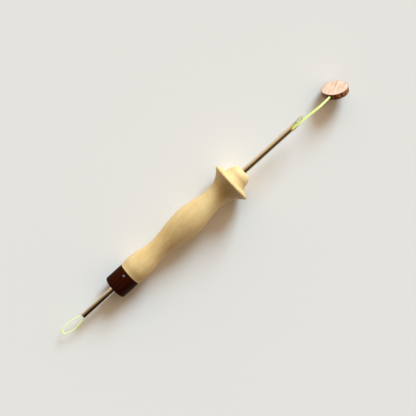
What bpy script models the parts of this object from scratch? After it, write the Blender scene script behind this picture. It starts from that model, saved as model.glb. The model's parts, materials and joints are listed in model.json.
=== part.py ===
"""Adjustable punch needle with a turned wooden handle, lying on a table with its threader in place.

The tool's pieces are modelled on a level axis that runs along +X, with the rear face of the end cap at
x = 0, and hang from one empty that sets that axis down at the angle at which the tool rests: on the rear
edge of its cap and on the rim of its flange. Lengths are in metres and +Z is up.
"""

import math

import bmesh
import bpy
from mathutils import Matrix, Vector

MM = 0.001

# ---- Driving dimensions ----------------------------------------------------------------------------------
FIT_GAP = 0.3 * MM           # between pieces that touch or slide on each other
ROUND_SIDES = 32             # sides of a turned piece; a flat lies at the bottom of each
DISC_SIDES = 40
SMALL_SIDES = 20             # sides of the grub screw and of small holes
CURVE_STEP = 2.3 * MM        # most that a curved outline runs along the axis between two of its points
ARC_STEP = math.radians(12.0)    # most that an outline's arc turns between two of its points
CUT_PAST = 3.0 * MM          # how far a cutter goes on past what it cuts

TUBE_RADIUS = 2.0 * MM
TUBE_WALL = 0.4 * MM
TUBE_LENGTH = 186.5 * MM
TUBE_REAR = 26.4 * MM        # how far the tube stands out behind the cap
BEVEL_LENGTH = 12.5 * MM     # from the heel of the bevel to where it would end in a point
TIP_BLUNT = 1.0 * MM         # taken off that point
BEVEL_ROLL = math.radians(35.0)  # turn of the bevel from straight up towards -Y
EYE_LENGTH = 4.4 * MM
EYE_WIDTH = 1.1 * MM
EYE_FROM_TIP = 3.1 * MM      # from the tip to the middle of the eye

CAP_LENGTH = 13.8 * MM
CAP_RADIUS = 8.05 * MM
CAP_CORNER = 1.8 * MM        # rounding of its rear edge

BUSH_RADIUS = 4.0 * MM
BUSH_IN_CAP = 8.0 * MM       # how much of the clamp bush lies in the cap
BUSH_IN_HANDLE = 8.0 * MM

SCREW_RADIUS = 1.0 * MM
SCREW_FROM_JOINT = 2.2 * MM  # from the cap's front face to the screw's axis
SCREW_ROLL = math.radians(11.0)  # lean of the screw from straight up towards +Y
SCREW_SUNK = 0.3 * MM        # its head below the cap's surface
SOCKET_RADIUS = 0.5 * MM
SOCKET_DEPTH = 1.2 * MM
SOCKET_SIDES = 6
SCREW_POINT = 0.4 * MM       # chamfer at its inner end

# Turned outline of the handle: distance from the cap's rear face, and radius.
BULGE_AT, BULGE_RADIUS = 19.6 * MM, 8.65 * MM
WAIST_AT, WAIST_RADIUS = 36.6 * MM, 6.5 * MM
BELLY_AT, BELLY_RADIUS = 63.2 * MM, 9.6 * MM
NECK_AT, NECK_RADIUS = 86.0 * MM, 6.7 * MM
RIM_AT, RIM_RADIUS = 99.4 * MM, 13.75 * MM
RIM_ROUND = 1.15 * MM
FLARE_POWER = 2.1            # shape of the bell behind the rim
FLARE_STEPS = 8
RIM_ARC = (150.0, -10.0)     # degrees round the rim's edge, from the bell to the front
NOSE_BASE_AT, NOSE_BASE_RADIUS = 101.6 * MM, 8.7 * MM
NOSE_SIDE_AT, NOSE_SIDE_RADIUS = 104.6 * MM, 7.35 * MM
NOSE_AT, NOSE_FLAT_RADIUS = 110.0 * MM, 3.0 * MM

DISC_RADIUS = 8.75 * MM
DISC_THICKNESS = 3.7 * MM
DISC_CHAMFER = 0.3 * MM
DISC_LEAN = math.radians(55.0)   # of its face from level
DISC_TURN = math.radians(63.0)   # of its face's level direction from +X towards +Y
DISC_AHEAD = 27.1 * MM       # level distance from the needle's tip to the middle of the disc
DISC_ASIDE = -0.3 * MM       # of its middle from the tool's axis
DISC_OFF_TABLE = 0.05 * MM
DISC_HOLE_RADIUS = 1.05 * MM
DISC_HOLE_DEPTH = 5.5 * MM
# Where the line goes in, on the disc's rim, and the direction of its hole: shares of the disc's own
# level and uphill directions.
DISC_ENTRY = (0.60, 0.80)
DISC_HOLE_WAY = (-0.74, -0.67)

LINE_RADIUS = 0.3 * MM       # the threader's monofilament
LINE_IN_DISC = 4.6 * MM      # how far it goes into the disc's hole
LINE_FROM_DISC = 1.8 * MM    # how far it then runs on straight in front of the hole
LINE_PAIR = 0.4 * MM         # half the distance between its two strands
LINE_TURN = math.radians(9.0)    # most that it turns between two of its points
# The pair of strands on the level axis: place along it, then sideways and up from it, and half the
# distance between the strands. It runs from the disc back through the needle to its rear end.
PAIR_ROUTE = [
    (172.0 * MM, -1.70 * MM, -0.95 * MM, LINE_PAIR),
    (166.0 * MM, -1.38 * MM, -0.15 * MM, LINE_PAIR),
    (160.0 * MM, -1.00 * MM, 0.10 * MM, LINE_PAIR),
    (154.0 * MM, -0.70 * MM, 0.05 * MM, LINE_PAIR),
    (146.0 * MM, -0.40 * MM, -0.15 * MM, LINE_PAIR),
    (132.0 * MM, -0.15 * MM, -0.50 * MM, LINE_PAIR),
    (100.0 * MM, 0.00 * MM, -0.70 * MM, LINE_PAIR),
    (50.0 * MM, 0.00 * MM, -0.65 * MM, 0.55 * MM),
    (5.0 * MM, 0.00 * MM, -0.40 * MM, 0.80 * MM),
    (-18.0 * MM, 0.00 * MM, -0.20 * MM, 0.95 * MM),
    (-25.5 * MM, 0.00 * MM, -0.10 * MM, 1.02 * MM),
]
# The loop that opens behind the tube, from the +Y strand round to the -Y strand.
LOOP_ROUTE = [
    (-29.5 * MM, 1.95 * MM, -0.10 * MM),
    (-33.0 * MM, 2.70 * MM, -0.12 * MM),
    (-36.5 * MM, 3.05 * MM, -0.15 * MM),
    (-39.5 * MM, 2.95 * MM, -0.18 * MM),
    (-42.0 * MM, 2.20 * MM, -0.20 * MM),
    (-43.2 * MM, 0.50 * MM, -0.20 * MM),
    (-42.0 * MM, -0.95 * MM, -0.20 * MM),
    (-39.5 * MM, -1.90 * MM, -0.18 * MM),
    (-36.5 * MM, -2.40 * MM, -0.15 * MM),
    (-33.0 * MM, -2.25 * MM, -0.12 * MM),
    (-29.5 * MM, -1.65 * MM, -0.10 * MM),
]

# ---- What follows from them ------------------------------------------------------------------------------
BORE_RADIUS = TUBE_RADIUS + FIT_GAP
TIP_AT = TUBE_LENGTH - TUBE_REAR
HANDLE_START = CAP_LENGTH + FIT_GAP
SEAT_RADIUS = BUSH_RADIUS + FIT_GAP
SEAT_START = CAP_LENGTH - BUSH_IN_CAP - FIT_GAP
SEAT_END = HANDLE_START + BUSH_IN_HANDLE + FIT_GAP
SCREW_AT = CAP_LENGTH - SCREW_FROM_JOINT
SCREW_HOLE_RADIUS = SCREW_RADIUS + FIT_GAP


def resting_tilt():
    """The angle at which a level line touches both the cap's rear corner and the rim from below."""
    flat = math.cos(math.pi / ROUND_SIDES)
    along = RIM_AT - CAP_CORNER
    rise = (RIM_RADIUS - RIM_ROUND - CAP_RADIUS + CAP_CORNER) * flat
    swell = (RIM_ROUND - CAP_CORNER) * flat
    return math.asin(swell / math.hypot(along, rise)) + math.atan2(rise, along)


TILT = resting_tilt()


def tool_matrix():
    """From the level axis to the resting one, with the tube's middle over the origin."""
    flat = math.cos(math.pi / ROUND_SIDES)
    rim_below = (RIM_RADIUS - RIM_ROUND) * flat * math.cos(TILT) + RIM_ROUND * flat
    height = rim_below - RIM_AT * math.sin(TILT)
    middle = (TIP_AT - TUBE_REAR) / 2 * math.cos(TILT)
    return Matrix.Translation((-middle, 0, height)) @ Matrix.Rotation(-TILT, 4, "Y")


# ---- Helpers ---------------------------------------------------------------------------------------------
def clear_scene():
    for obj in list(bpy.data.objects):
        bpy.data.objects.remove(obj, do_unlink=True)


def finish_of(name, colour, roughness, metallic=0.0):
    material = bpy.data.materials.new(name)
    material.use_nodes = True
    shader = material.node_tree.nodes["Principled BSDF"]
    shader.inputs["Base Color"].default_value = (*colour, 1.0)
    shader.inputs["Roughness"].default_value = roughness
    shader.inputs["Metallic"].default_value = metallic
    return material


def empty_at(name, matrix, parent=None):
    empty = bpy.data.objects.new(name, None)
    bpy.context.scene.collection.objects.link(empty)
    empty.empty_display_size = 10 * MM
    empty.parent = parent
    empty.matrix_local = matrix
    return empty


def object_of(name, mesh_maker, parent, matrix=None, finish=None):
    """A mesh object from a bmesh, under its parent."""
    mesh = bpy.data.meshes.new(name)
    bmesh.ops.recalc_face_normals(mesh_maker, faces=mesh_maker.faces)
    mesh_maker.to_mesh(mesh)
    mesh_maker.free()
    mesh.shade_smooth()
    mesh.set_sharp_from_angle(angle=math.radians(30))
    obj = bpy.data.objects.new(name, mesh)
    bpy.context.scene.collection.objects.link(obj)
    obj.parent = parent
    obj.matrix_local = matrix or Matrix.Identity(4)
    if finish:
        mesh.materials.append(finish)
    return obj


def cutter_of(name, mesh_maker, parent, matrix=None):
    cutter = object_of(name, mesh_maker, parent, matrix)
    cutter.hide_render = True
    cutter.display_type = "WIRE"
    return cutter


def cut(obj, cutter):
    modifier = obj.modifiers.new("cut " + cutter.name, "BOOLEAN")
    modifier.operation = "DIFFERENCE"
    modifier.object = cutter


def arc(centre, radii, first, last):
    """Points of an elliptical arc in (along, radius), from one angle to another, in degrees."""
    steps = math.ceil(abs(math.radians(last - first)) / ARC_STEP)
    points = []
    for step in range(steps + 1):
        angle = math.radians(first + (last - first) * step / steps)
        along = centre[0] + radii[0] * math.cos(angle)
        points.append((along, centre[1] + radii[1] * math.sin(angle)))
    return points


def eased(start, end):
    """Points between two turning points of an outline, level at both."""
    steps = math.ceil((end[0] - start[0]) / CURVE_STEP)
    points = []
    for step in range(1, steps + 1):
        share = step / steps
        lift = (1 - math.cos(math.pi * share)) / 2
        points.append((start[0] + (end[0] - start[0]) * share, start[1] + (end[1] - start[1]) * lift))
    return points


def flared(start, end):
    """Points of a bell that is level at its start."""
    points = []
    for step in range(1, FLARE_STEPS + 1):
        share = step / FLARE_STEPS
        lift = share**FLARE_POWER
        points.append((start[0] + (end[0] - start[0]) * share, start[1] + (end[1] - start[1]) * lift))
    return points


def turned(outline, sides, closed):
    """A bmesh of an outline in (along, radius) turned about X, with a flat at the bottom.

    A closed outline goes once round the wall of a bored piece. An open one starts and ends on the axis.
    """
    maker = bmesh.new()
    rings = []
    for along, radius in outline:
        if radius <= 0:
            rings.append([maker.verts.new((along, 0, 0))])
            continue
        ring = []
        for side in range(sides):
            angle = 2 * math.pi * (side + 0.5) / sides
            ring.append(maker.verts.new((along, radius * math.sin(angle), -radius * math.cos(angle))))
        rings.append(ring)
    pairs = list(zip(rings, rings[1:]))
    if closed:
        pairs.append((rings[-1], rings[0]))
    for ring, following in pairs:
        for side in range(sides):
            after = (side + 1) % sides
            corners = [ring[side % len(ring)], ring[after % len(ring)]]
            corners += [following[after % len(following)], following[side % len(following)]]
            maker.faces.new(list(dict.fromkeys(corners)))
    return maker


def box(size, centre):
    maker = bmesh.new()
    bmesh.ops.create_cube(maker, size=1.0)
    bmesh.ops.scale(maker, vec=size, verts=maker.verts)
    bmesh.ops.translate(maker, vec=centre, verts=maker.verts)
    return maker


def rod(radius, start, end, sides=SMALL_SIDES):
    """A plain round rod along X."""
    return turned([(start, 0), (start, radius), (end, radius), (end, 0)], sides, closed=False)


def about_axis(along, roll):
    """A frame on the tool's axis whose own +X points outwards, rolled from straight up towards +Y."""
    outwards = Matrix.Rotation(math.radians(-90), 4, "Y")
    return Matrix.Translation((along, 0, 0)) @ Matrix.Rotation(-roll, 4, "X") @ outwards


# ---- Handle and cap --------------------------------------------------------------------------------------
def make_handle(axis):
    outline = [(HANDLE_START, SEAT_RADIUS), (HANDLE_START, CAP_RADIUS)]
    outline += eased((HANDLE_START, CAP_RADIUS), (BULGE_AT, BULGE_RADIUS))
    outline += eased((BULGE_AT, BULGE_RADIUS), (WAIST_AT, WAIST_RADIUS))
    outline += eased((WAIST_AT, WAIST_RADIUS), (BELLY_AT, BELLY_RADIUS))
    outline += eased((BELLY_AT, BELLY_RADIUS), (NECK_AT, NECK_RADIUS))
    rim = arc((RIM_AT, RIM_RADIUS - RIM_ROUND), (RIM_ROUND, RIM_ROUND), *RIM_ARC)
    outline += flared((NECK_AT, NECK_RADIUS), rim[0])[:-1]
    outline += rim
    outline += [(NOSE_BASE_AT, NOSE_BASE_RADIUS)]
    dome = (NOSE_AT - NOSE_SIDE_AT, NOSE_SIDE_RADIUS - NOSE_FLAT_RADIUS)
    outline += arc((NOSE_SIDE_AT, NOSE_FLAT_RADIUS), dome, 90, 0)
    outline += [(NOSE_AT, BORE_RADIUS), (SEAT_END, BORE_RADIUS), (SEAT_END, SEAT_RADIUS)]
    finish = finish_of("handle wood", (0.72, 0.53, 0.28), 0.45)
    return object_of("handle", turned(outline, ROUND_SIDES, closed=True), axis, finish=finish)


def make_end_cap(axis):
    outline = [(0, BORE_RADIUS), (0, CAP_RADIUS - CAP_CORNER)]
    corner = (CAP_CORNER, CAP_RADIUS - CAP_CORNER)
    outline += arc(corner, (CAP_CORNER, CAP_CORNER), 180, 90)[1:]
    outline += [(CAP_LENGTH, CAP_RADIUS), (CAP_LENGTH, SEAT_RADIUS)]
    outline += [(SEAT_START, SEAT_RADIUS), (SEAT_START, BORE_RADIUS)]
    finish = finish_of("dark cap wood", (0.035, 0.008, 0.003), 0.35)
    cap = object_of("end_cap", turned(outline, ROUND_SIDES, closed=True), axis, finish=finish)
    hole = rod(SCREW_HOLE_RADIUS, BORE_RADIUS, CAP_RADIUS + CUT_PAST)
    cut(cap, cutter_of("cap_screw_cutter", hole, axis, about_axis(SCREW_AT, SCREW_ROLL)))
    return cap


# ---- Clamp -----------------------------------------------------------------------------------------------
def make_clamp_bush(axis):
    start = CAP_LENGTH - BUSH_IN_CAP
    end = HANDLE_START + BUSH_IN_HANDLE
    outline = [(start, BORE_RADIUS), (start, BUSH_RADIUS), (end, BUSH_RADIUS), (end, BORE_RADIUS)]
    finish = finish_of("brass", (0.72, 0.50, 0.18), 0.3, metallic=1.0)
    bush = object_of("clamp_bush", turned(outline, ROUND_SIDES, closed=True), axis, finish=finish)
    hole = rod(SCREW_HOLE_RADIUS, 0, BUSH_RADIUS + CUT_PAST)
    cut(bush, cutter_of("bush_screw_cutter", hole, axis, about_axis(SCREW_AT, SCREW_ROLL)))
    return bush


def make_grub_screw(axis):
    """Its own +X, and the hinge's axis, points out of the cap."""
    head = CAP_RADIUS - SCREW_SUNK
    outline = [(BORE_RADIUS, 0), (BORE_RADIUS, SCREW_RADIUS - SCREW_POINT)]
    outline += [(BORE_RADIUS + SCREW_POINT, SCREW_RADIUS), (head, SCREW_RADIUS), (head, 0)]
    finish = finish_of("screw steel", (0.35, 0.34, 0.33), 0.35, metallic=1.0)
    frame = about_axis(SCREW_AT, SCREW_ROLL)
    maker = turned(outline, SMALL_SIDES, closed=False)
    screw = object_of("grub_screw", maker, axis, frame, finish)
    socket = rod(SOCKET_RADIUS, head - SOCKET_DEPTH, head + CUT_PAST, SOCKET_SIDES)
    cut(screw, cutter_of("screw_socket_cutter", socket, axis, frame))
    return screw


# ---- Needle ----------------------------------------------------------------------------------------------
def bevel_cutter():
    """A block whose lower face is the plane of the bevel, before it is rolled."""
    slope = math.atan2(2 * TUBE_RADIUS, BEVEL_LENGTH)
    size = 3 * BEVEL_LENGTH
    maker = box((size, size, size), (0, 0, size / 2))
    bmesh.ops.rotate(maker, cent=(0, 0, 0), matrix=Matrix.Rotation(slope, 3, "Y"), verts=maker.verts)
    end = Vector((TIP_AT + TIP_BLUNT, 0, -TUBE_RADIUS))
    bmesh.ops.translate(maker, vec=end, verts=maker.verts)
    return maker


def eye_cutter():
    """A long hole with round ends, standing up through the tongue of the tip, before it is rolled."""
    maker = bmesh.new()
    half = (EYE_LENGTH - EYE_WIDTH) / 2
    depth = TUBE_RADIUS + CUT_PAST
    steps = SMALL_SIDES // 2
    corners = []
    for end in (1, -1):
        for step in range(steps + 1):
            angle = math.pi * step / steps - math.pi / 2
            along = TIP_AT - EYE_FROM_TIP + end * (half + EYE_WIDTH / 2 * math.cos(angle))
            across = end * EYE_WIDTH / 2 * math.sin(angle)
            corners.append(maker.verts.new((along, across, -depth)))
    floor = maker.faces.new(corners)
    grown = bmesh.ops.extrude_face_region(maker, geom=[floor])
    top = [part for part in grown["geom"] if isinstance(part, bmesh.types.BMVert)]
    bmesh.ops.translate(maker, vec=(0, 0, depth), verts=top)
    return maker


def make_needle_tube(axis):
    inner = TUBE_RADIUS - TUBE_WALL
    outline = [(-TUBE_REAR, inner), (-TUBE_REAR, TUBE_RADIUS), (TIP_AT, TUBE_RADIUS), (TIP_AT, inner)]
    finish = finish_of("needle steel", (0.60, 0.56, 0.50), 0.22, metallic=1.0)
    tube = object_of("needle_tube", turned(outline, ROUND_SIDES, closed=True), axis, finish=finish)
    roll = Matrix.Rotation(BEVEL_ROLL, 4, "X")
    cut(tube, cutter_of("bevel_cutter", bevel_cutter(), axis, roll))
    cut(tube, cutter_of("eye_cutter", eye_cutter(), axis, roll))
    return tube


# ---- Threader --------------------------------------------------------------------------------------------
def disc_frame():
    """The disc's place on the table: its own +X is the face's outward direction."""
    lean = (math.cos(DISC_TURN), math.sin(DISC_TURN))
    face = Vector((math.sin(DISC_LEAN) * lean[0], math.sin(DISC_LEAN) * lean[1], math.cos(DISC_LEAN)))
    level = Vector((-lean[1], lean[0], 0))
    uphill = face.cross(level)
    half_height = DISC_RADIUS * math.sin(DISC_LEAN) + DISC_THICKNESS / 2 * math.cos(DISC_LEAN)
    tip = tool_matrix() @ Vector((TIP_AT, 0, 0))
    middle = Vector((tip.x + DISC_AHEAD, DISC_ASIDE, half_height + DISC_OFF_TABLE))
    columns = Matrix((face, level, uphill)).transposed().to_4x4()
    return Matrix.Translation(middle) @ columns


def hole_frame():
    """On the disc's rim, with its own +X pointing into the disc along the line's hole."""
    entry = Vector((0, DISC_ENTRY[0], DISC_ENTRY[1])).normalized() * DISC_RADIUS
    way = Vector((0, DISC_HOLE_WAY[0], DISC_HOLE_WAY[1])).normalized()
    return Matrix.Translation(entry) @ way.to_track_quat("X", "Z").to_matrix().to_4x4()


def make_threader_disc(axis):
    half = DISC_THICKNESS / 2
    edge = DISC_RADIUS - DISC_CHAMFER
    outline = [(-half, 0), (-half, edge), (-half + DISC_CHAMFER, DISC_RADIUS)]
    outline += [(half - DISC_CHAMFER, DISC_RADIUS), (half, edge), (half, 0)]
    finish = finish_of("disc wood", (0.80, 0.62, 0.48), 0.6)
    place = tool_matrix().inverted() @ disc_frame()
    disc = object_of("threader_disc", turned(outline, DISC_SIDES, closed=False), axis, place, finish)
    hole = rod(DISC_HOLE_RADIUS, -CUT_PAST, DISC_HOLE_DEPTH)
    cut(disc, cutter_of("line_hole_cutter", hole, axis, place @ hole_frame()))
    return disc


def smooth_points(route):
    """Points on a smooth curve through the route's own, closer together where its own are."""
    spans = [(after - before).length for before, after in zip(route, route[1:])]
    slopes = [(route[1] - route[0]) / spans[0]]
    for index in range(1, len(route) - 1):
        behind = (route[index] - route[index - 1]) / spans[index - 1]
        ahead = (route[index + 1] - route[index]) / spans[index]
        share = spans[index - 1] / (spans[index - 1] + spans[index])
        slopes.append(behind * (1 - share) + ahead * share)
    slopes.append((route[-1] - route[-2]) / spans[-1])
    points = [route[0]]
    for index, span in enumerate(spans):
        steps = max(1, math.ceil(slopes[index].angle(slopes[index + 1]) / LINE_TURN))
        for step in range(1, steps + 1):
            share = step / steps
            rise = share * share * (3 - 2 * share)
            near = share * (1 - share) ** 2 * span
            far = -share * share * (1 - share) * span
            point = route[index].lerp(route[index + 1], rise)
            points.append(point + slopes[index] * near + slopes[index + 1] * far)
    return points


def line_route():
    """The whole line on the level axis: disc, tube, loop, tube, disc."""
    to_disc = tool_matrix().inverted() @ disc_frame() @ hole_frame()
    strands = []
    for side in (1, -1):
        strand = []
        for depth in (LINE_IN_DISC, LINE_IN_DISC / 2, -LINE_FROM_DISC):
            strand.append(to_disc @ Vector((depth, side * LINE_PAIR, 0)))
        for along, aside, up, half in PAIR_ROUTE:
            strand.append(Vector((along, aside + side * half, up)))
        strands.append(strand)
    loop = [Vector(point) for point in LOOP_ROUTE]
    return strands[0] + loop + strands[1][::-1]


def make_threader_line(axis):
    points = smooth_points(line_route())
    curve = bpy.data.curves.new("threader_line", "CURVE")
    curve.dimensions = "3D"
    spline = curve.splines.new("POLY")
    spline.points.add(len(points) - 1)
    for slot, point in zip(spline.points, points):
        slot.co = (*point, 1.0)
    curve.bevel_depth = LINE_RADIUS
    curve.bevel_resolution = 2
    curve.use_fill_caps = True
    curve.materials.append(finish_of("neon line", (0.75, 0.95, 0.20), 0.3))
    line = bpy.data.objects.new("threader_line", curve)
    bpy.context.scene.collection.objects.link(line)
    line.parent = axis
    return line


def main():
    clear_scene()
    axis = empty_at("tool_axis", tool_matrix())
    make_handle(axis)
    make_end_cap(axis)
    make_clamp_bush(axis)
    make_grub_screw(axis)
    needle = empty_at("needle_slide", Matrix.Identity(4), axis)
    make_needle_tube(needle)
    threader = empty_at("threader_slide", Matrix.Identity(4), needle)
    make_threader_disc(threader)
    make_threader_line(threader)


main()
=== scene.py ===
"""Looks of the adjustable punch needle: fine meshes, procedural finishes, its threader, floor and light.

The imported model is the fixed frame. Pieces of the tool are made on a level axis along +X, with the rear
face of the end cap at x = 0, and are then laid down on the resting axis that the frame gives.
"""

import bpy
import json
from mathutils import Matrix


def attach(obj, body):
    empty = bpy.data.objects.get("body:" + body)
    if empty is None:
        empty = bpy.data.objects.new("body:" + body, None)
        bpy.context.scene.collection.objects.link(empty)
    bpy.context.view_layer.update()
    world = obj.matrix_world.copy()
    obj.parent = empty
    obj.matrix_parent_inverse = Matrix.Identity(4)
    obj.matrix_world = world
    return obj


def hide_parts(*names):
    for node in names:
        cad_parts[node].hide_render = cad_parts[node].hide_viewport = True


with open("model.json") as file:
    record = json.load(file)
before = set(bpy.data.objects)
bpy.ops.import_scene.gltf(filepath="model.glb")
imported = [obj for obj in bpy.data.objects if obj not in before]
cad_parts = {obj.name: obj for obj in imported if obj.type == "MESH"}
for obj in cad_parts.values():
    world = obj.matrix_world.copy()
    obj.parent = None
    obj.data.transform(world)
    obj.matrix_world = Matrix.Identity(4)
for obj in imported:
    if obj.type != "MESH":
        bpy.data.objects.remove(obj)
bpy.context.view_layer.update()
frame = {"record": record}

import json
import math

import bmesh
import bpy
from bpy.props import FloatProperty, FloatVectorProperty, IntProperty, PointerProperty
from mathutils import Euler, Matrix, Vector

bl_info = {
    "name": "Adjustable punch needle",
    "version": (1, 0, 0),
    "blender": (4, 5, 0),
    "location": "View3D > Sidebar > Punch needle",
    "description": "Makes the pieces of an adjustable punch needle around its packed frame",
    "category": "Add Mesh",
}

MM = 0.001
MERGE = 0.0002 * MM          # vertices closer than this are one
SHARP = math.radians(32)     # edges that turn more than this stay crisp
SLIDE = 0.05 * MM            # what shows between the needle and its bores
SEAM = 0.05 * MM             # what shows between the cap and the handle

# ---- The tool's sizes, measured along its axis from the cap's rear face ------------------------------------
CAP_LENGTH = 13.8 * MM
CAP_RADIUS = 8.05 * MM
CAP_CORNER = 1.8 * MM        # rounding of its rear edge
NOSE_AT = 110.0 * MM
TUBE_REAR = 26.4 * MM        # how far the needle stands out behind the cap
TUBE_LENGTH = 186.5 * MM
TIP_AT = TUBE_LENGTH - TUBE_REAR
BUSH_IN_CAP = 8.0 * MM
BUSH_IN_HANDLE = 8.3 * MM
BUSH_RADIUS = 4.0 * MM
SCREW_AT = 11.6 * MM
SCREW_ROLL = math.radians(11.0)
BEVEL_ROLL = math.radians(35.0)


# ---- Places that the frame gives ---------------------------------------------------------------------------
def mount_of(name):
    for mount in frame["record"]["mounts"]:
        if mount["name"] == name:
            return Vector(mount["pos_m"]), Vector(mount["axis"]).normalized()
    raise ValueError("the record has no mount named " + name)


def matrix_of(origin, first, second, third):
    return Matrix.Translation(origin) @ Matrix((first, second, third)).transposed().to_4x4()


def resting_axis():
    """The tool's frame: +X from the cap's rear face to the tip, in the plane y = 0."""
    place, rearwards = mount_of("cap_rear_face")
    across = Vector((0, 1, 0))
    return matrix_of((place.x, 0, place.z), -rearwards, across, (-rearwards).cross(across))


def disc_place(thickness):
    """The disc's frame: +X out of its face, +Y level and +Z uphill in its plane."""
    place, face = mount_of("disc_face")
    level = Vector((-face.y, face.x, 0)).normalized()
    return matrix_of(place, face, level, face.cross(level)) @ Matrix.Translation((-thickness / 2, 0, 0))


TOOL = resting_axis()


# ---- Settings ----------------------------------------------------------------------------------------------
def length(name, description, default):
    return FloatProperty(name=name, description=description, default=default, unit="LENGTH", precision=5)


def colour(name, description, default):
    return FloatVectorProperty(
        name=name, description=description, default=default, subtype="COLOR", size=3, min=0, max=1
    )


def share(name, description, default):
    return FloatProperty(name=name, description=description, default=default, min=0, max=1, subtype="FACTOR")


class PunchHandleSettings(bpy.types.PropertyGroup):
    sides: IntProperty(name="Sides", description="Sides of the turned handle and cap", default=160, min=24)
    bulge: length("Bulge", "Radius of the bulge in front of the cap", 8.65 * MM)
    waist: length("Waist", "Radius of the waist", 6.5 * MM)
    belly: length("Belly", "Radius of the belly", 9.6 * MM)
    neck: length("Neck", "Radius of the neck behind the flange", 6.7 * MM)
    rim: length("Rim", "Radius of the flange", 13.75 * MM)
    rim_round: length("Rim rounding", "Radius of the flange's edge", 1.15 * MM)
    wood_pale: colour("Pale wood", "Colour between the growth rings", (0.76, 0.57, 0.28))
    wood_deep: colour("Deep wood", "Colour of the growth rings", (0.60, 0.36, 0.10))
    cap_brown: colour("Cap brown", "Main colour of the dark cap", (0.040, 0.0058, 0.0012))
    cap_black: colour("Cap black", "Colour of the cap's dark streaks", (0.008, 0.0014, 0.0006))
    varnish: share("Varnish", "Strength of the varnish on the wood", 0.18)


class PunchNeedleSettings(bpy.types.PropertyGroup):
    sides: IntProperty(name="Sides", description="Sides of the needle's tube", default=96, min=24)
    radius: length("Radius", "Outside radius of the tube", 2.0 * MM)
    wall: length("Wall", "Thickness of the tube's wall", 0.4 * MM)
    bevel: length("Bevel", "Length of the slanted tip, if it ended in a point", 12.5 * MM)
    blunt: length("Blunt", "Length taken off that point", 1.0 * MM)
    eye_length: length("Eye length", "Length of the eye", 4.4 * MM)
    eye_width: length("Eye width", "Width of the eye", 1.1 * MM)
    eye_from_tip: length("Eye from tip", "From the tip to the middle of the eye", 3.1 * MM)
    steel: colour("Steel", "Colour of the needle's steel", (0.84, 0.80, 0.70))
    brass: colour("Brass", "Colour of the clamp bush", (0.74, 0.53, 0.21))
    screw_radius: length("Screw radius", "Outside radius of the set screw", 1.0 * MM)
    screw_sunk: length("Screw sunk", "Depth of the screw's head below the cap", 0.3 * MM)
    pitch: length("Thread pitch", "Pitch of the set screw's thread", 0.4 * MM)


class PunchThreaderSettings(bpy.types.PropertyGroup):
    line_radius: length("Line radius", "Radius of the monofilament", 0.3 * MM)
    disc_radius: length("Disc radius", "Radius of the wooden disc", 8.75 * MM)
    disc_thickness: length("Disc thickness", "Thickness of the wooden disc", 3.7 * MM)
    hole_radius: length("Hole radius", "Radius of the line's hole in the rim", 0.9 * MM)
    hole_depth: length("Hole depth", "Depth of the line's hole", 5.5 * MM)
    neon: colour("Neon", "Colour of the line", (0.76, 0.92, 0.20))
    face: colour("Face", "Colour of the disc's bare faces", (0.70, 0.52, 0.40))
    grain: colour("Grain", "Colour of the streaks on the disc's faces", (0.42, 0.20, 0.11))
    scorch: colour("Scorch", "Colour of the disc's scorched rim", (0.060, 0.014, 0.005))


class PunchStageSettings(bpy.types.PropertyGroup):
    camera_height: length("Camera height", "Height of the camera above the table", 0.7)
    focal: FloatProperty(name="Focal length", description="Focal length in millimetres", default=95.1)
    floor: colour("Floor", "Colour of the floor", (0.84, 0.835, 0.82))
    key: FloatProperty(name="Key", description="Strength of the key light", default=3.75, min=0)
    sky: FloatProperty(name="Sky", description="Strength of the light from all round", default=0.88, min=0)


# ---- Node helpers ------------------------------------------------------------------------------------------
def add(tree, kind, values=None, **settings):
    """Adds a node. A value that is a socket is linked, and any other one is set."""
    made = tree.nodes.new(kind)
    for key, value in settings.items():
        setattr(made, key, value)
    for socket, value in (values or {}).items():
        if isinstance(value, bpy.types.NodeSocket):
            tree.links.new(value, made.inputs[socket])
        else:
            made.inputs[socket].default_value = value
    return made


def maths(tree, operation, first, second=0.0):
    return add(tree, "ShaderNodeMath", {0: first, 1: second}, operation=operation).outputs[0]


def ramp(tree, factor, stops):
    """A colour ramp from (position, colour) stops."""
    made = add(tree, "ShaderNodeValToRGB", {"Fac": factor})
    elements = made.color_ramp.elements
    for index, (position, tone) in enumerate(stops):
        element = elements[index] if index < 2 else elements.new(position)
        element.position = position
        element.color = (*tone, 1.0)
    return made.outputs["Color"]


def mixed(tree, factor, first, second, blend="MIX"):
    """Two colours mixed by a factor; each is a socket or a colour."""
    made = tree.nodes.new("ShaderNodeMix")
    made.data_type = "RGBA"
    made.blend_type = blend
    for index, value in ((0, factor), (6, first), (7, second)):
        if isinstance(value, bpy.types.NodeSocket):
            tree.links.new(value, made.inputs[index])
        else:
            made.inputs[index].default_value = value if index == 0 else (*value, 1.0)
    return made.outputs[2]


def spread(tree, value, low, high, start=0.0, end=1.0):
    """A number moved from the range start..end to low..high."""
    values = {"Value": value, "From Min": start, "From Max": end, "To Min": low, "To Max": high}
    return add(tree, "ShaderNodeMapRange", values).outputs["Result"]


def noise(tree, place, scale, detail=4.0, roughness=0.55, stretch=(1, 1, 1)):
    """Fractal noise; stretch multiplies the scale along each axis of the place."""
    placed = add(tree, "ShaderNodeMapping", {"Vector": place, "Scale": stretch})
    values = {"Vector": placed.outputs[0], "Scale": scale, "Detail": detail, "Roughness": roughness}
    return add(tree, "ShaderNodeTexNoise", values).outputs["Fac"]


def bump(tree, height, depth, strength=1.0):
    values = {"Height": height, "Distance": depth, "Strength": strength}
    return add(tree, "ShaderNodeBump", values).outputs["Normal"]


def placed_in(tree, matrix):
    """Object coordinates read in a frame of the piece's own."""
    source = add(tree, "ShaderNodeTexCoord").outputs["Object"]
    values = {"Vector": source, "Location": matrix.to_translation(), "Rotation": matrix.to_euler()}
    return add(tree, "ShaderNodeMapping", values, vector_type="TEXTURE").outputs[0]


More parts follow.
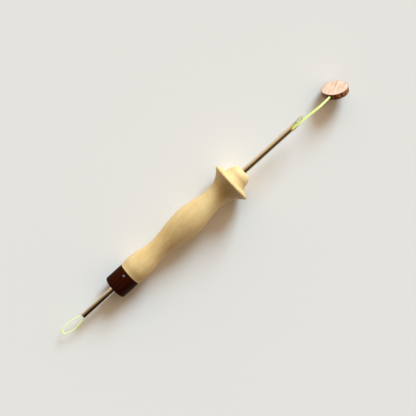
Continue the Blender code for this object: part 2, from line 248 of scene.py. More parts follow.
def finish(name, constants):
    """A new material, its tree and its surface shader with constant values set."""
    material = bpy.data.materials.new(name)
    material.use_nodes = True
    shader = material.node_tree.nodes["Principled BSDF"]
    for socket, value in constants.items():
        shader.inputs[socket].default_value = value
    return material, material.node_tree, shader


def drive(tree, shader, sockets):
    for name, source in sockets.items():
        tree.links.new(source, shader.inputs[name])


# ---- Finishes ----------------------------------------------------------------------------------------------
def turned_wood(settings):
    """Pale, close-grained wood with a soft, fine mottle and faint growth rings."""
    constants = {"Coat Weight": settings.varnish, "Coat Roughness": 0.38, "Specular IOR Level": 0.3}
    material, tree, shader = finish("turned_wood", constants)
    place = placed_in(tree, TOOL)
    heart = Matrix.Translation((0, 0.034, -0.021)) @ Euler((0, 0.05, 0.03)).to_matrix().to_4x4()
    values = {"Vector": place, "Location": heart.to_translation(), "Rotation": heart.to_euler()}
    block = add(tree, "ShaderNodeMapping", values, vector_type="TEXTURE").outputs[0]
    values = {"Vector": block, "Scale": 150.0, "Distortion": 1.6, "Detail": 3.0, "Detail Scale": 0.4}
    rings = add(tree, "ShaderNodeTexWave", values, wave_type="RINGS", rings_direction="X").outputs["Fac"]
    fibres = noise(tree, place, 90.0, 6.0, 0.6, (2, 9, 9))
    clouds = noise(tree, place, 70.0, 4.0, 0.6, (1, 1.6, 1.6))
    flecks = noise(tree, place, 620.0, 2.0, 0.5, (0.8, 2, 2))
    grain = maths(tree, "MULTIPLY", rings, spread(tree, clouds, 0.0, 0.22, 0.3, 0.7))
    tone = mixed(tree, grain, settings.wood_pale, settings.wood_deep)
    tone = mixed(tree, spread(tree, fibres, 0.0, 0.35, 0.45, 0.8), tone, settings.wood_deep)
    tone = mixed(tree, spread(tree, clouds, 0.0, 0.45, 0.42, 0.68), tone, settings.wood_deep)
    dark = [part * 0.72 for part in settings.wood_deep]
    tone = mixed(tree, spread(tree, flecks, 0.0, 0.25, 0.60, 0.72), tone, dark)
    sockets = {"Base Color": tone, "Roughness": spread(tree, fibres, 0.48, 0.62)}
    sockets["Normal"] = bump(tree, fibres, 0.02 * MM, 0.5)
    drive(tree, shader, sockets)
    return material


def dark_wood(settings):
    """Very dark, matt, dense wood with fine streaks along the axis."""
    constants = {"Specular IOR Level": 0.03}
    material, tree, shader = finish("dark_wood", constants)
    place = placed_in(tree, TOOL)
    streaks = noise(tree, place, 90.0, 5.0, 0.65, (0.7, 16, 16))
    pores = noise(tree, place, 900.0, 2.0, 0.5, (0.12, 3, 3))
    tone = ramp(tree, streaks, [(0.35, settings.cap_black), (0.62, settings.cap_brown)])
    reddish = [min(1.0, part * 2.4) for part in settings.cap_brown]
    tone = mixed(tree, spread(tree, pores, 0.0, 0.6, 0.6, 0.75), tone, reddish)
    sockets = {"Base Color": tone, "Roughness": spread(tree, streaks, 0.55, 0.4)}
    sockets["Normal"] = bump(tree, pores, 0.02 * MM, 0.6)
    drive(tree, shader, sockets)
    return material


def drawn_metal(name, tone, rough, stretch, place_matrix):
    """Metal with fine marks drawn along the direction that stretch leaves long."""
    material, tree, shader = finish(name, {"Metallic": 1.0})
    place = placed_in(tree, place_matrix)
    marks = noise(tree, place, 300.0, 5.0, 0.6, stretch)
    stains = noise(tree, place, 120.0, 3.0, 0.5)
    worn = [part * 0.72 for part in tone]
    body = mixed(tree, spread(tree, stains, 0.0, 0.5, 0.4, 0.7), tone, worn)
    body = mixed(tree, spread(tree, marks, 0.0, 0.3, 0.5, 0.8), body, worn)
    sockets = {"Base Color": body, "Roughness": spread(tree, marks, rough * 0.75, rough * 1.35)}
    sockets["Normal"] = bump(tree, marks, 0.004 * MM, 0.35)
    drive(tree, shader, sockets)
    return material


def scorched_disc(settings):
    """Bare plank wood, grain in the plane of the face, whose rim and hole were scorched in cutting."""
    material, tree, shader = finish("disc_wood", {"Specular IOR Level": 0.35})
    disc = disc_place(settings.disc_thickness)
    place = placed_in(tree, disc @ Matrix.Rotation(math.radians(64.3), 4, "X"))
    grain = noise(tree, place, 110.0, 5.0, 0.6, (6, 1, 9))
    lines = noise(tree, place, 260.0, 2.0, 0.5, (3, 0.35, 5))
    tone = ramp(tree, grain, [(0.42, settings.face), (0.78, settings.grain)])
    tone = mixed(tree, spread(tree, lines, 0.0, 0.8, 0.60, 0.72), tone, settings.grain)
    parts = add(tree, "ShaderNodeSeparateXYZ", {"Vector": place}).outputs
    squares = maths(tree, "ADD", maths(tree, "MULTIPLY", parts[1], parts[1]),
                    maths(tree, "MULTIPLY", parts[2], parts[2]))
    reach = maths(tree, "SQRT", squares)
    edge = maths(tree, "ADD", reach, spread(tree, noise(tree, place, 900.0, 3.0), -0.1 * MM, 0.1 * MM))
    burnt = spread(tree, edge, 0.0, 1.0, settings.disc_radius - 0.45 * MM, settings.disc_radius - 0.12 * MM)
    ember = (0.46, 0.18, 0.050)
    char = noise(tree, place, 300.0, 4.0, 0.6, (1, 2, 2))
    char = ramp(tree, char, [(0.36, settings.scorch), (0.64, ember)])
    sockets = {"Base Color": mixed(tree, burnt, tone, char)}
    sockets["Roughness"] = spread(tree, burnt, 0.62, 0.42)
    sockets["Normal"] = bump(tree, grain, 0.05 * MM, 0.5)
    drive(tree, shader, sockets)
    return material


def neon_line(settings):
    """Clear fluorescent plastic with a painted glow: a faint emission in its own colour, all over, stands in
    for the light that gathers in it.
    """
    # Emission here is painted glow, not a lamp: the line shines faintly in its own colour even where no light
    # reaches it
    constants = {"Roughness": 0.22, "Emission Strength": 0.27, "Specular IOR Level": 0.5}
    material, tree, shader = finish("neon_line", constants)
    place = placed_in(tree, TOOL)
    drift = noise(tree, place, 240.0, 3.0, 0.5)
    pale = [part + (1 - part) * 0.35 for part in settings.neon]
    tone = mixed(tree, spread(tree, drift, 0.0, 1.0, 0.3, 0.7), settings.neon, pale)
    drive(tree, shader, {"Base Color": tone, "Emission Color": tone})
    return material


def floor_finish(settings):
    """Matt, pale board with the faintest mottling."""
    material, tree, shader = finish("pale_floor", {"Specular IOR Level": 0.1, "Roughness": 0.9})
    source = add(tree, "ShaderNodeTexCoord").outputs["Object"]
    mottle = noise(tree, source, 9.0, 4.0)
    dim = [part * 0.985 for part in settings.floor]
    drive(tree, shader, {"Base Color": mixed(tree, mottle, settings.floor, dim)})
    return material


# ---- Mesh helpers ------------------------------------------------------------------------------------------
def linked(name, data):
    obj = bpy.data.objects.new(name, data)
    bpy.context.scene.collection.objects.link(obj)
    return obj


def smooth(mesh):
    mesh.shade_smooth()
    mesh.set_sharp_from_angle(angle=SHARP)


def settled(obj):
    """Turns an object's modifiers into a plain, merged mesh whose faces point outwards."""
    bpy.context.view_layer.update()
    graph = bpy.context.evaluated_depsgraph_get()
    made = bpy.data.meshes.new_from_object(obj.evaluated_get(graph), depsgraph=graph)
    obj.modifiers.clear()
    obj.data = made
    made.name = obj.name
    maker = bmesh.new()
    maker.from_mesh(made)
    bmesh.ops.remove_doubles(maker, verts=maker.verts, dist=MERGE)
    bmesh.ops.recalc_face_normals(maker, faces=maker.faces)
    maker.to_mesh(made)
    maker.free()
    smooth(made)
    return obj


def cut_away(obj, cutters):
    """Takes the cutters out of an object and removes them."""
    for cutter in cutters:
        modifier = obj.modifiers.new("cut", "BOOLEAN")
        modifier.operation = "DIFFERENCE"
        modifier.object = cutter
    settled(obj)
    for cutter in cutters:
        bpy.data.objects.remove(cutter, do_unlink=True)
    return obj


def laid_down(obj, matrix=TOOL):
    """Puts a piece's place into its mesh."""
    obj.data.transform(matrix)
    obj.data.update()
    return obj


def seated(obj, body, slot, *nodes):
    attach(obj, body)
    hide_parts(*nodes)


def about_axis(along, roll):
    """A frame on the tool's axis whose own +X points outwards, rolled from straight up towards +Y."""
    outwards = Matrix.Rotation(math.radians(-90), 4, "Y")
    return Matrix.Translation((along, 0, 0)) @ Matrix.Rotation(-roll, 4, "X") @ outwards


# ---- Outlines of turned pieces, as (along, radius) ---------------------------------------------------------
def arc(centre, radii, first, last, steps):
    points = []
    for step in range(steps + 1):
        angle = math.radians(first + (last - first) * step / steps)
        points.append((centre[0] + radii[0] * math.cos(angle), centre[1] + radii[1] * math.sin(angle)))
    return points


def between(start, end, steps, rise):
    """Points after start up to end, whose radius follows a rule from 0 to 1."""
    points = []
    for step in range(1, steps + 1):
        way = step / steps
        points.append((start[0] + (end[0] - start[0]) * way, start[1] + (end[1] - start[1]) * rise(way)))
    return points


def eased(way):
    return (1 - math.cos(math.pi * way)) / 2


def flared(way):
    return way**2.1


def rounded(outline, radius, steps=3):
    """The outline with its corners cut by small arcs; a corner too short for its arc stays."""
    result = [outline[0]]
    for before, corner, after in zip(outline, outline[1:], outline[2:]):
        point = Vector(corner)
        arms = [Vector(other) - point for other in (before, after)]
        reach = min(radius, *(arm.length * 0.45 for arm in arms))
        if arms[0].angle(arms[1], math.pi) > math.pi - SHARP or reach < MERGE * 10:
            result.append(corner)
            continue
        start, end = (point + arm.normalized() * reach for arm in arms)
        for step in range(steps + 1):
            way = step / steps
            bent = start * (1 - way) ** 2 + point * 2 * way * (1 - way) + end * way**2
            result.append(tuple(bent))
    return result + [outline[-1]]


def outline_mesh(outline, threaded=()):
    """A line of vertices in the XZ plane, marked where a thread is cut: between two places along it."""
    mesh = bpy.data.meshes.new("outline")
    mesh.from_pydata([(along, 0, radius) for along, radius in outline], [], [])
    marks = mesh.attributes.new("threaded", "FLOAT", "POINT")
    if threaded:
        first, last, reach = threaded
        for index, (along, radius) in enumerate(outline):
            inside = first <= along <= last and radius >= reach
            marks.data[index].value = 1.0 if inside else 0.0
    return mesh


# ---- Geometry nodes ----------------------------------------------------------------------------------------
def new_tree(name, sockets):
    """A geometry tree with named inputs, its group input and its group output."""
    tree = bpy.data.node_groups.new(name, "GeometryNodeTree")
    tree.interface.new_socket("Geometry", in_out="OUTPUT", socket_type="NodeSocketGeometry")
    for title, kind in sockets:
        tree.interface.new_socket(title, in_out="INPUT", socket_type="NodeSocket" + kind)
    return tree, tree.nodes.new("NodeGroupInput").outputs, tree.nodes.new("NodeGroupOutput")


def turning_tree():
    """Turns a line of vertices about X and can cut a screw thread where its vertices are marked."""
    sockets = [("Outline", "Geometry"), ("Sides", "Int"), ("Pitch", "Float"), ("Depth", "Float")]
    tree, given, out = new_tree("Turned piece", sockets + [("Material", "Material")])
    size = add(tree, "GeometryNodeAttributeDomainSize", {"Geometry": given["Outline"]})
    count = size.outputs["Point Count"]
    columns = maths(tree, "ADD", given["Sides"], 1.0)
    grid = add(tree, "GeometryNodeMeshGrid", {"Vertices X": count, "Vertices Y": columns}).outputs["Mesh"]
    index = add(tree, "GeometryNodeInputIndex").outputs[0]
    row = maths(tree, "FLOOR", maths(tree, "DIVIDE", maths(tree, "ADD", index, 0.5), columns))
    column = maths(tree, "SUBTRACT", index, maths(tree, "MULTIPLY", row, columns))
    turn = maths(tree, "DIVIDE", column, given["Sides"])
    here = add(tree, "GeometryNodeInputPosition").outputs[0]
    values = {"Geometry": given["Outline"], "Value": here, "Index": row}
    sample = add(tree, "GeometryNodeSampleIndex", data_type="FLOAT_VECTOR")
    for socket, value in values.items():
        tree.links.new(value, sample.inputs[socket])
    parts = add(tree, "ShaderNodeSeparateXYZ", {"Vector": sample.outputs["Value"]}).outputs
    mark = add(tree, "GeometryNodeInputNamedAttribute", {"Name": "threaded"}, data_type="FLOAT")
    marked = add(tree, "GeometryNodeSampleIndex", data_type="FLOAT")
    for socket, value in {"Geometry": given["Outline"], "Value": mark.outputs[0], "Index": row}.items():
        tree.links.new(value, marked.inputs[socket])
    phase = maths(tree, "SUBTRACT", maths(tree, "DIVIDE", parts["X"], given["Pitch"]), turn)
    groove = maths(tree, "MULTIPLY", maths(tree, "PINGPONG", phase, 0.5), 2.0)
    cut = maths(tree, "MULTIPLY", maths(tree, "MULTIPLY", groove, given["Depth"]), marked.outputs[0])
    radius = maths(tree, "SUBTRACT", parts["Z"], cut)
    angle = maths(tree, "MULTIPLY", turn, 2 * math.pi)
    values = {
        "X": parts["X"],
        "Y": maths(tree, "MULTIPLY", radius, maths(tree, "SINE", angle)),
        "Z": maths(tree, "MULTIPLY", radius, maths(tree, "MULTIPLY", maths(tree, "COSINE", angle), -1.0)),
    }
    place = add(tree, "ShaderNodeCombineXYZ", values).outputs[0]
    turned = add(tree, "GeometryNodeSetPosition", {"Geometry": grid, "Position": place}).outputs[0]
    whole = add(tree, "GeometryNodeMergeByDistance", {"Geometry": turned, "Distance": MERGE}).outputs[0]
    real = add(tree, "GeometryNodeRealizeInstances", {"Geometry": whole}).outputs[0]
    values = {"Geometry": real, "Material": given["Material"]}
    dressed = add(tree, "GeometryNodeSetMaterial", values).outputs[0]
    tree.links.new(dressed, out.inputs["Geometry"])
    return tree


def with_tree(obj, tree, inputs):
    """Adds a tree to an object, with its inputs set by their sockets' identifiers."""
    modifier = obj.modifiers.new(tree.name, "NODES")
    modifier.node_group = tree
    for item in tree.interface.items_tree:
        if item.item_type == "SOCKET" and item.in_out == "INPUT" and item.name in inputs:
            modifier[item.identifier] = inputs[item.name]
    return obj


def turned(name, outline, sides, material, threaded=(), pitch=1.0, depth=0.0):
    """A turned piece: a plain mesh on the level axis. A closed outline repeats its first point."""
    tree = bpy.data.node_groups.get("Turned piece") or turning_tree()
    obj = linked(name, outline_mesh(outline, threaded))
    inputs = {"Sides": sides, "Pitch": pitch, "Depth": depth, "Material": material}
    return settled(with_tree(obj, tree, inputs))


def rod(radius, start, end, sides, matrix, material=None):
    """A plain round or polygonal rod along X of a frame, to cut holes with."""
    outline = [(start, 0), (start, radius), (end, radius), (end, 0)]
    return laid_down(turned("rod", outline, sides, material), matrix)


# ---- Stage -------------------------------------------------------------------------------------------------
CAMERA_OVER = (0.01115, -0.0020)     # the point on the table that the camera looks straight down at
CAMERA_TURN = math.radians(-42.0)
KEY_FROM = Vector((0.80, 0.325, 0.50))
KEY_SOFTNESS = math.radians(26.0)
SOMEONE_AT = Vector((-0.35, -0.18, 0.92)).normalized()    # where someone leans over the table
FLOOR_REACH = 6.0
FLOOR_UNDER = 0.07 * MM      # how far it lies under the finer rims of the pieces


def make_camera(settings):
    camera = linked("camera", bpy.data.cameras.new("camera"))
    camera.data.lens = settings.focal
    camera.data.clip_start = 0.01
    camera.location = (*CAMERA_OVER, settings.camera_height)
    camera.rotation_euler = (0, 0, CAMERA_TURN)
    bpy.context.scene.camera = camera


def make_floor(settings):
    maker = bmesh.new()
    bmesh.ops.create_circle(maker, cap_ends=True, radius=FLOOR_REACH, segments=96)
    mesh = bpy.data.meshes.new("floor")
    maker.to_mesh(mesh)
    maker.free()
    mesh.transform(Matrix.Translation((0, 0, -FLOOR_UNDER)))
    mesh.materials.append(floor_finish(settings))
    linked("floor", mesh)


def make_lights(settings):
    key = linked("key", bpy.data.lights.new("key", "SUN"))
    key.data.energy = settings.key
    key.data.angle = KEY_SOFTNESS
    key.data.color = (0.62, 0.845, 1.0)
    key.rotation_mode = "QUATERNION"
    key.rotation_quaternion = KEY_FROM.to_track_quat("Z", "Y")


def make_sky(settings):
    """Light from all round: pale on the key's side, warm and dim on the other."""
    world = bpy.data.worlds.new("sky")
    bpy.context.scene.world = world
    world.use_nodes = True
    tree = world.node_tree
    way = add(tree, "ShaderNodeTexCoord").outputs["Generated"]
    level = Vector((KEY_FROM.x, KEY_FROM.y, 0)).normalized()
    facing = add(tree, "ShaderNodeVectorMath", {0: way, 1: level}, operation="DOT_PRODUCT").outputs["Value"]
    stops = [(0.25, (0.012, 0.006, 0.002)), (0.44, (0.20, 0.11, 0.035)), (0.60, (0.80, 0.56, 0.33))]
    stops.append((0.90, (1.9, 1.5, 1.15)))
    tone = ramp(tree, spread(tree, facing, 0.0, 1.0, -1.0, 1.0), stops)
    near = add(tree, "ShaderNodeVectorMath", {0: way, 1: SOMEONE_AT}, operation="DOT_PRODUCT")
    near = near.outputs["Value"]
    tone = mixed(tree, spread(tree, near, 0.0, 0.92, 0.90, 0.96), tone, (0.03, 0.022, 0.018))
    background = tree.nodes["Background"]
    tree.links.new(tone, background.inputs["Color"])
    background.inputs["Strength"].default_value = settings.sky


class PUNCHNEEDLE_OT_make_stage(bpy.types.Operator):
    """Make the camera, the floor and the light"""

    bl_idname = "punch_needle.make_stage"
    bl_label = "Stage"

    def execute(self, context):
        settings = context.scene.punch_stage
        make_camera(settings)
        make_floor(settings)
        make_lights(settings)
        make_sky(settings)
        context.scene.view_settings.view_transform = "Standard"
        return {"FINISHED"}


# ---- Threader ----------------------------------------------------------------------------------------------
# Where the line goes in, on the disc's rim, and the direction of its hole: shares of the disc's own
# level and uphill directions.
DISC_ENTRY = (0.60, 0.80)
DISC_HOLE_WAY = (-0.74, -0.67)
LINE_IN_DISC = 4.6 * MM      # how far the line goes into its hole
LINE_FROM_DISC = 1.8 * MM    # how far it then runs on straight in front of the hole
LINE_PAIR = 0.4 * MM         # half the distance between its two strands
# The pair of strands on the level axis: place along it, then sideways and up from it, and half the
# distance between the strands. It runs from the disc back through the needle to its rear end.
PAIR_ROUTE = [
    (172.0 * MM, -1.70 * MM, -0.95 * MM, LINE_PAIR),
    (166.0 * MM, -1.38 * MM, -0.15 * MM, LINE_PAIR),
    (160.0 * MM, -1.00 * MM, 0.10 * MM, LINE_PAIR),
    (154.0 * MM, -0.70 * MM, 0.05 * MM, LINE_PAIR),
    (146.0 * MM, -0.40 * MM, -0.15 * MM, LINE_PAIR),
    (132.0 * MM, -0.15 * MM, -0.50 * MM, LINE_PAIR),
    (100.0 * MM, 0.00 * MM, -0.70 * MM, LINE_PAIR),
    (50.0 * MM, 0.00 * MM, -0.65 * MM, 0.55 * MM),
    (5.0 * MM, 0.00 * MM, -0.40 * MM, 0.80 * MM),
    (-18.0 * MM, 0.00 * MM, -0.20 * MM, 0.95 * MM),
    (-25.5 * MM, 0.00 * MM, -0.10 * MM, 1.02 * MM),
]
# The loop that opens behind the needle, from the +Y strand round to the -Y strand.
LOOP_ROUTE = [
    (-29.5 * MM, 1.95 * MM, -0.10 * MM),
    (-33.0 * MM, 2.70 * MM, -0.12 * MM),
    (-36.5 * MM, 3.05 * MM, -0.15 * MM),
    (-39.5 * MM, 2.95 * MM, -0.18 * MM),
    (-42.0 * MM, 2.20 * MM, -0.20 * MM),
    (-43.2 * MM, 0.50 * MM, -0.20 * MM),
    (-42.0 * MM, -0.95 * MM, -0.20 * MM),
    (-39.5 * MM, -1.90 * MM, -0.18 * MM),
    (-36.5 * MM, -2.40 * MM, -0.15 * MM),
    (-33.0 * MM, -2.25 * MM, -0.12 * MM),
    (-29.5 * MM, -1.65 * MM, -0.10 * MM),
]
LINE_TURN = math.radians(3.0)  # most that the line turns between two of its points


def hole_place(settings):
    """On the disc's rim, with its own +X pointing into the disc along the line's hole."""
    entry = Vector((0, *DISC_ENTRY)).normalized() * settings.disc_radius
    way = Vector((0, *DISC_HOLE_WAY)).normalized()
    turn = way.to_track_quat("X", "Z").to_matrix().to_4x4()
    return disc_place(settings.disc_thickness) @ Matrix.Translation(entry) @ turn


def smooth_points(route):
    """Points on a smooth curve through the route's own, closer together where it bends."""
    spans = [(after - before).length for before, after in zip(route, route[1:])]
    slopes = [(route[1] - route[0]) / spans[0]]
    for index in range(1, len(route) - 1):
        behind = (route[index] - route[index - 1]) / spans[index - 1]
        ahead = (route[index + 1] - route[index]) / spans[index]
        way = spans[index - 1] / (spans[index - 1] + spans[index])
        slopes.append(behind * (1 - way) + ahead * way)
    slopes.append((route[-1] - route[-2]) / spans[-1])
    points = [route[0]]
    for index, span in enumerate(spans):
        steps = max(1, math.ceil(slopes[index].angle(slopes[index + 1]) / LINE_TURN))
        for step in range(1, steps + 1):
            way = step / steps
            near = way * (1 - way) ** 2 * span
            far = -way * way * (1 - way) * span
            point = route[index].lerp(route[index + 1], way * way * (3 - 2 * way))
            points.append(point + slopes[index] * near + slopes[index + 1] * far)
    return points


def line_points(settings):
    """The whole line: disc, needle, loop, needle, disc."""
    hole = hole_place(settings)
    strands = []
    for side in (1, -1):
        depths = (LINE_IN_DISC, LINE_IN_DISC / 2, -LINE_FROM_DISC)
        strand = [hole @ Vector((depth, side * LINE_PAIR, 0)) for depth in depths]
        for along, aside, up, half in PAIR_ROUTE:
            strand.append(TOOL @ Vector((along, aside + side * half, up)))
        strands.append(strand)
    loop = [TOOL @ Vector(point) for point in LOOP_ROUTE]
    return smooth_points(strands[0] + loop + strands[1][::-1])


class PUNCHNEEDLE_OT_make_threader(bpy.types.Operator):
    """Make the wooden disc and the line that runs from it through the needle and back"""

    bl_idname = "punch_needle.make_threader"
    bl_label = "Threader"

    def execute(self, context):
        settings = context.scene.punch_threader
        disc = make_disc(settings)
        points = line_points(settings)
        curve = bpy.data.curves.new("neon_line", "CURVE")
        curve.dimensions = "3D"
        spline = curve.splines.new("POLY")
        spline.points.add(len(points) - 1)
        for slot, point in zip(spline.points, points):
            slot.co = (*point, 1.0)
        spline.use_smooth = True
        curve.bevel_depth = settings.line_radius
        curve.bevel_resolution = 4
        curve.use_fill_caps = True
        curve.materials.append(neon_line(settings))
        line = linked("line", curve)
        seated(line, "threader", "neon_line", "threader_line")
        tuple(hole_place(settings).to_translation())
        return {"FINISHED"}


DISC_EDGE = 0.22 * MM        # rounding of its edges
DISC_SIDES = 160


def make_disc(settings):
    half = settings.disc_thickness / 2
    outline = [(-half, 0), (-half, settings.disc_radius), (half, settings.disc_radius), (half, 0)]
    material = scorched_disc(settings)
    disc = turned("disc", rounded(outline, DISC_EDGE, 4), DISC_SIDES, material)
    laid_down(disc, disc_place(settings.disc_thickness))
    hole = rod(settings.hole_radius, -settings.hole_depth, settings.hole_depth, 32, hole_place(settings))
    cut_away(disc, [hole])
    seated(disc, "threader", "disc_wood", "threader_disc")
    return disc


# ---- Handle and cap ----------------------------------------------------------------------------------------
BULGE_AT, WAIST_AT, BELLY_AT, NECK_AT = 19.6 * MM, 36.6 * MM, 63.2 * MM, 86.0 * MM
RIM_AT = 99.4 * MM
NOSE_BASE_AT, NOSE_BASE_RADIUS = 101.6 * MM, 8.7 * MM
NOSE_SIDE_AT, NOSE_SIDE_RADIUS, NOSE_FLAT_RADIUS = 104.6 * MM, 7.35 * MM, 3.0 * MM


def handle_outline(settings, bore):
    start = (CAP_LENGTH + SEAM, CAP_RADIUS)
    bulge, waist = (BULGE_AT, settings.bulge), (WAIST_AT, settings.waist)
    belly, neck = (BELLY_AT, settings.belly), (NECK_AT, settings.neck)
    outline = [start] + between(start, bulge, 8, eased) + between(bulge, waist, 22, eased)
    outline += between(waist, belly, 28, eased) + between(belly, neck, 22, eased)
    rim_middle = (RIM_AT, settings.rim - settings.rim_round)
    rim = arc(rim_middle, (settings.rim_round, settings.rim_round), 150, -10, 16)
    outline += between(neck, rim[0], 24, flared)[:-1] + rim
    outline += [(NOSE_BASE_AT, NOSE_BASE_RADIUS)]
    dome = (NOSE_AT - NOSE_SIDE_AT, NOSE_SIDE_RADIUS - NOSE_FLAT_RADIUS)
    outline += arc((NOSE_SIDE_AT, NOSE_FLAT_RADIUS), dome, 90, 0, 20)
    seat = CAP_LENGTH + BUSH_IN_HANDLE
    outline += [(NOSE_AT, bore), (seat, bore), (seat, BUSH_RADIUS + SLIDE), (start[0], BUSH_RADIUS + SLIDE)]
    return rounded(outline + [start], 0.15 * MM)


class PUNCHNEEDLE_OT_make_handle(bpy.types.Operator):
    """Make the turned wooden handle with its flange and nose"""

    bl_idname = "punch_needle.make_handle"
    bl_label = "Handle"

    def execute(self, context):
        settings = context.scene.punch_handle
        bore = context.scene.punch_needle.radius + SLIDE
        outline = handle_outline(settings, bore)
        handle = laid_down(turned("turned_handle", outline, settings.sides, turned_wood(settings)))
        seated(handle, "handle", "handle_wood", "handle")
        return {"FINISHED"}


class PUNCHNEEDLE_OT_make_cap(bpy.types.Operator):
    """Make the dark end cap with the hole for its set screw"""

    bl_idname = "punch_needle.make_cap"
    bl_label = "End cap"

    def execute(self, context):
        settings = context.scene.punch_handle
        needle = context.scene.punch_needle
        bore, seat, corner = needle.radius + SLIDE, BUSH_RADIUS + SLIDE, CAP_CORNER
        outline = [(0, bore), (0, CAP_RADIUS - corner)]
        outline += arc((corner, CAP_RADIUS - corner), (corner, corner), 180, 90, 14)
        outline += [(CAP_LENGTH, CAP_RADIUS), (CAP_LENGTH, seat)]
        seat_start = CAP_LENGTH - BUSH_IN_CAP - SLIDE
        outline += [(seat_start, seat), (seat_start, bore), (0, bore)]
        cap = turned("dark_cap", rounded(outline, 0.12 * MM), settings.sides, dark_wood(settings))
        hole_radius = needle.screw_radius + SLIDE
        frame_of_hole = about_axis(SCREW_AT, SCREW_ROLL)
        cutters = [rod(hole_radius, bore, CAP_RADIUS + 2 * MM, 40, frame_of_hole)]
        laid_down(cut_away(cap, cutters))
        seated(cap, "handle", "dark_wood", "end_cap")
        return {"FINISHED"}


# ---- Clamp -------------------------------------------------------------------------------------------------
class PUNCHNEEDLE_OT_make_clamp(bpy.types.Operator):
    """Make the brass bush inside the joint and the set screw that it carries"""

    bl_idname = "punch_needle.make_clamp"
    bl_label = "Clamp"

    def execute(self, context):
        settings = context.scene.punch_needle
        bore = settings.radius + SLIDE
        start, end = CAP_LENGTH - BUSH_IN_CAP, CAP_LENGTH + BUSH_IN_HANDLE - 2 * SLIDE
        outline = [(start, bore), (start, BUSH_RADIUS), (end, BUSH_RADIUS), (end, bore), (start, bore)]
        brass = drawn_metal("turned_brass", settings.brass, 0.3, (9, 1, 1), TOOL)
        bush = turned("clamp_sleeve", rounded(outline, 0.3 * MM), settings.sides, brass)
        screw_place = about_axis(SCREW_AT, SCREW_ROLL)
        cut_away(bush, [rod(settings.screw_radius + SLIDE, 0, 2 * BUSH_RADIUS, 40, screw_place)])
        seated(laid_down(bush), "handle", "bush_brass", "clamp_bush")
        make_screw(settings, screw_place)
        return {"FINISHED"}


SCREW_CLEAR = 0.3 * MM       # from the needle to the screw's point
SCREW_CONE = 0.4 * MM        # chamfer at its point
THREAD_DEPTH = 0.12 * MM
SOCKET_RADIUS = 0.5 * MM
SOCKET_DEPTH = 1.2 * MM


def make_screw(settings, place):
    """A set screw with a real thread, a cone point and a six-sided socket."""
    point, head = settings.radius + SCREW_CLEAR, CAP_RADIUS - settings.screw_sunk
    radius, cone, depth = settings.screw_radius, SCREW_CONE, THREAD_DEPTH
    outline = [(point, 0), (point, radius - cone), (point + cone, radius - depth)]
    rows = math.ceil((head - point - 2 * cone) / settings.pitch * 8)
    outline += between((point + cone, radius), (head - cone / 2, radius), rows, eased)
    outline += [(head, radius - cone / 2), (head, 0)]
    steel = drawn_metal("screw_steel", (0.020, 0.0195, 0.019), 0.6, (6, 1, 1), TOOL @ place)
    threaded = (point + cone, head - cone / 2, radius - 0.01 * MM)
    screw = turned("set_screw", outline, 48, steel, threaded, settings.pitch, depth)
    socket = rod(SOCKET_RADIUS, head - SOCKET_DEPTH, head + SOCKET_DEPTH, 6, Matrix.Identity(4))
    cut_away(screw, [socket])
    seated(laid_down(screw, TOOL @ place), "screw", "screw_steel", "grub_screw")


# ---- Needle ------------------------------------------------------------------------------------------------
EDGE = 0.06 * MM             # rounding of the ground edges of the needle's tube
TIP_ROWS = 14


def wall_end(settings, radius, turn):
    """How far forward the wall reaches, at an angle from the lowest line of the tongue."""
    height = settings.radius - radius * math.cos(turn)
    slanted = TIP_AT + settings.blunt - height * settings.bevel / (2 * settings.radius)
    return min(TIP_AT, slanted)


def wall_section(settings, turn):
    """The closed section of the wall at one angle: (along, radius), from the rear end round to it again."""
    outer, inner = settings.radius, settings.radius - settings.wall
    rear, straight = -TUBE_REAR, TIP_AT - settings.bevel - 4 * MM
    ends = {radius: wall_end(settings, radius, turn) for radius in (outer, inner)}
    section = [(rear + EDGE, inner), (rear, inner + EDGE), (rear, outer - EDGE), (rear + EDGE, outer)]
    rows = [step / TIP_ROWS for step in range(TIP_ROWS + 1)]
    section += [(straight + (ends[outer] - EDGE - straight) * row, outer) for row in rows]
    section += [(ends[outer], outer - EDGE), (ends[inner], inner + EDGE)]
    section += [(straight + (ends[inner] - EDGE - straight) * row, inner) for row in reversed(rows)]
    return section


def tube_mesh(settings):
    """The tube as rings of sections, its tongue at the bottom."""
    maker = bmesh.new()
    rings = []
    for side in range(settings.sides):
        turn = 2 * math.pi * side / settings.sides
        ring = []
        for along, radius in wall_section(settings, turn):
            ring.append(maker.verts.new((along, radius * math.sin(turn), -radius * math.cos(turn))))
        rings.append(ring)
    for ring, following in zip(rings, rings[1:] + rings[:1]):
        for index in range(len(ring)):
            after = (index + 1) % len(ring)
            maker.faces.new((ring[index], following[index], following[after], ring[after]))
    mesh = bpy.data.meshes.new("needle")
    maker.to_mesh(mesh)
    maker.free()
    return mesh


def eye_cutter(settings):
    """A long hole with round ends, standing up through the tongue."""
    maker = bmesh.new()
    half = (settings.eye_length - settings.eye_width) / 2
    steps = 16
    corners = []
    for end in (1, -1):
        for step in range(steps + 1):
            angle = math.pi * step / steps - math.pi / 2
            along = TIP_AT - settings.eye_from_tip + end * (half + settings.eye_width / 2 * math.cos(angle))
            across = end * settings.eye_width / 2 * math.sin(angle)
            corners.append(maker.verts.new((along, across, -1.5 * settings.radius)))
    grown = bmesh.ops.extrude_face_region(maker, geom=[maker.faces.new(corners)])
    top = [part for part in grown["geom"] if isinstance(part, bmesh.types.BMVert)]
    bmesh.ops.translate(maker, vec=(0, 0, 1.5 * settings.radius), verts=top)
    bmesh.ops.recalc_face_normals(maker, faces=maker.faces)
    mesh = bpy.data.meshes.new("eye")
    maker.to_mesh(mesh)
    maker.free()
    return linked("eye", mesh)


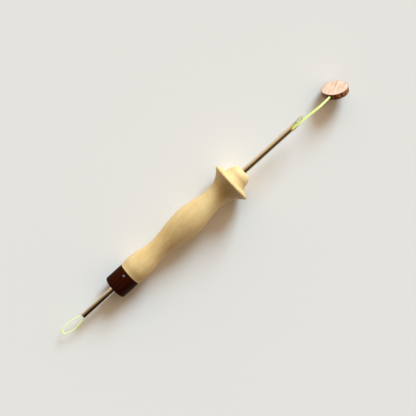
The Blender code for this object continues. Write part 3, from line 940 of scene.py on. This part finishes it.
class PUNCHNEEDLE_OT_make_needle(bpy.types.Operator):
    """Make the hollow steel needle with its slanted tip and eye"""

    bl_idname = "punch_needle.make_needle"
    bl_label = "Needle"

    def execute(self, context):
        settings = context.scene.punch_needle
        needle = linked("hollow_needle", tube_mesh(settings))
        needle.data.materials.append(drawn_metal("needle_steel", settings.steel, 0.12, (0.25, 6, 6), TOOL))
        cut_away(settled(needle), [eye_cutter(settings)])
        laid_down(needle, TOOL @ Matrix.Rotation(BEVEL_ROLL, 4, "X"))
        seated(needle, "needle", "needle_steel", "needle_tube")
        return {"FINISHED"}


# ---- Panel and registration --------------------------------------------------------------------------------
OPERATORS = (
    PUNCHNEEDLE_OT_make_stage,
    PUNCHNEEDLE_OT_make_threader,
    PUNCHNEEDLE_OT_make_handle,
    PUNCHNEEDLE_OT_make_cap,
    PUNCHNEEDLE_OT_make_clamp,
    PUNCHNEEDLE_OT_make_needle,
)
SETTINGS = {
    "punch_stage": PunchStageSettings,
    "punch_threader": PunchThreaderSettings,
    "punch_handle": PunchHandleSettings,
    "punch_needle": PunchNeedleSettings,
}


class PUNCHNEEDLE_PT_pieces(bpy.types.Panel):
    """The pieces that can be made, and their sizes and colours"""

    bl_idname = "PUNCHNEEDLE_PT_pieces"
    bl_label = "Punch needle"
    bl_space_type = "VIEW_3D"
    bl_region_type = "UI"
    bl_category = "Punch needle"

    def draw(self, context):
        for operator in OPERATORS:
            self.layout.operator(operator.bl_idname)
        for name, group in SETTINGS.items():
            settings = getattr(context.scene, name)
            for key in group.__annotations__:
                self.layout.prop(settings, key)


def register():
    for group in SETTINGS.values():
        bpy.utils.register_class(group)
    for name, group in SETTINGS.items():
        setattr(bpy.types.Scene, name, PointerProperty(type=group))
    for operator in OPERATORS:
        bpy.utils.register_class(operator)
    bpy.utils.register_class(PUNCHNEEDLE_PT_pieces)


def unregister():
    bpy.utils.unregister_class(PUNCHNEEDLE_PT_pieces)
    for operator in reversed(OPERATORS):
        bpy.utils.unregister_class(operator)
    for name, group in SETTINGS.items():
        delattr(bpy.types.Scene, name)
        bpy.utils.unregister_class(group)


def main():
    register()
    bpy.ops.punch_needle.make_stage()
    bpy.ops.punch_needle.make_threader()
    bpy.ops.punch_needle.make_handle()
    bpy.ops.punch_needle.make_cap()
    bpy.ops.punch_needle.make_clamp()
    bpy.ops.punch_needle.make_needle()


if __name__ == "__main__":
    main()
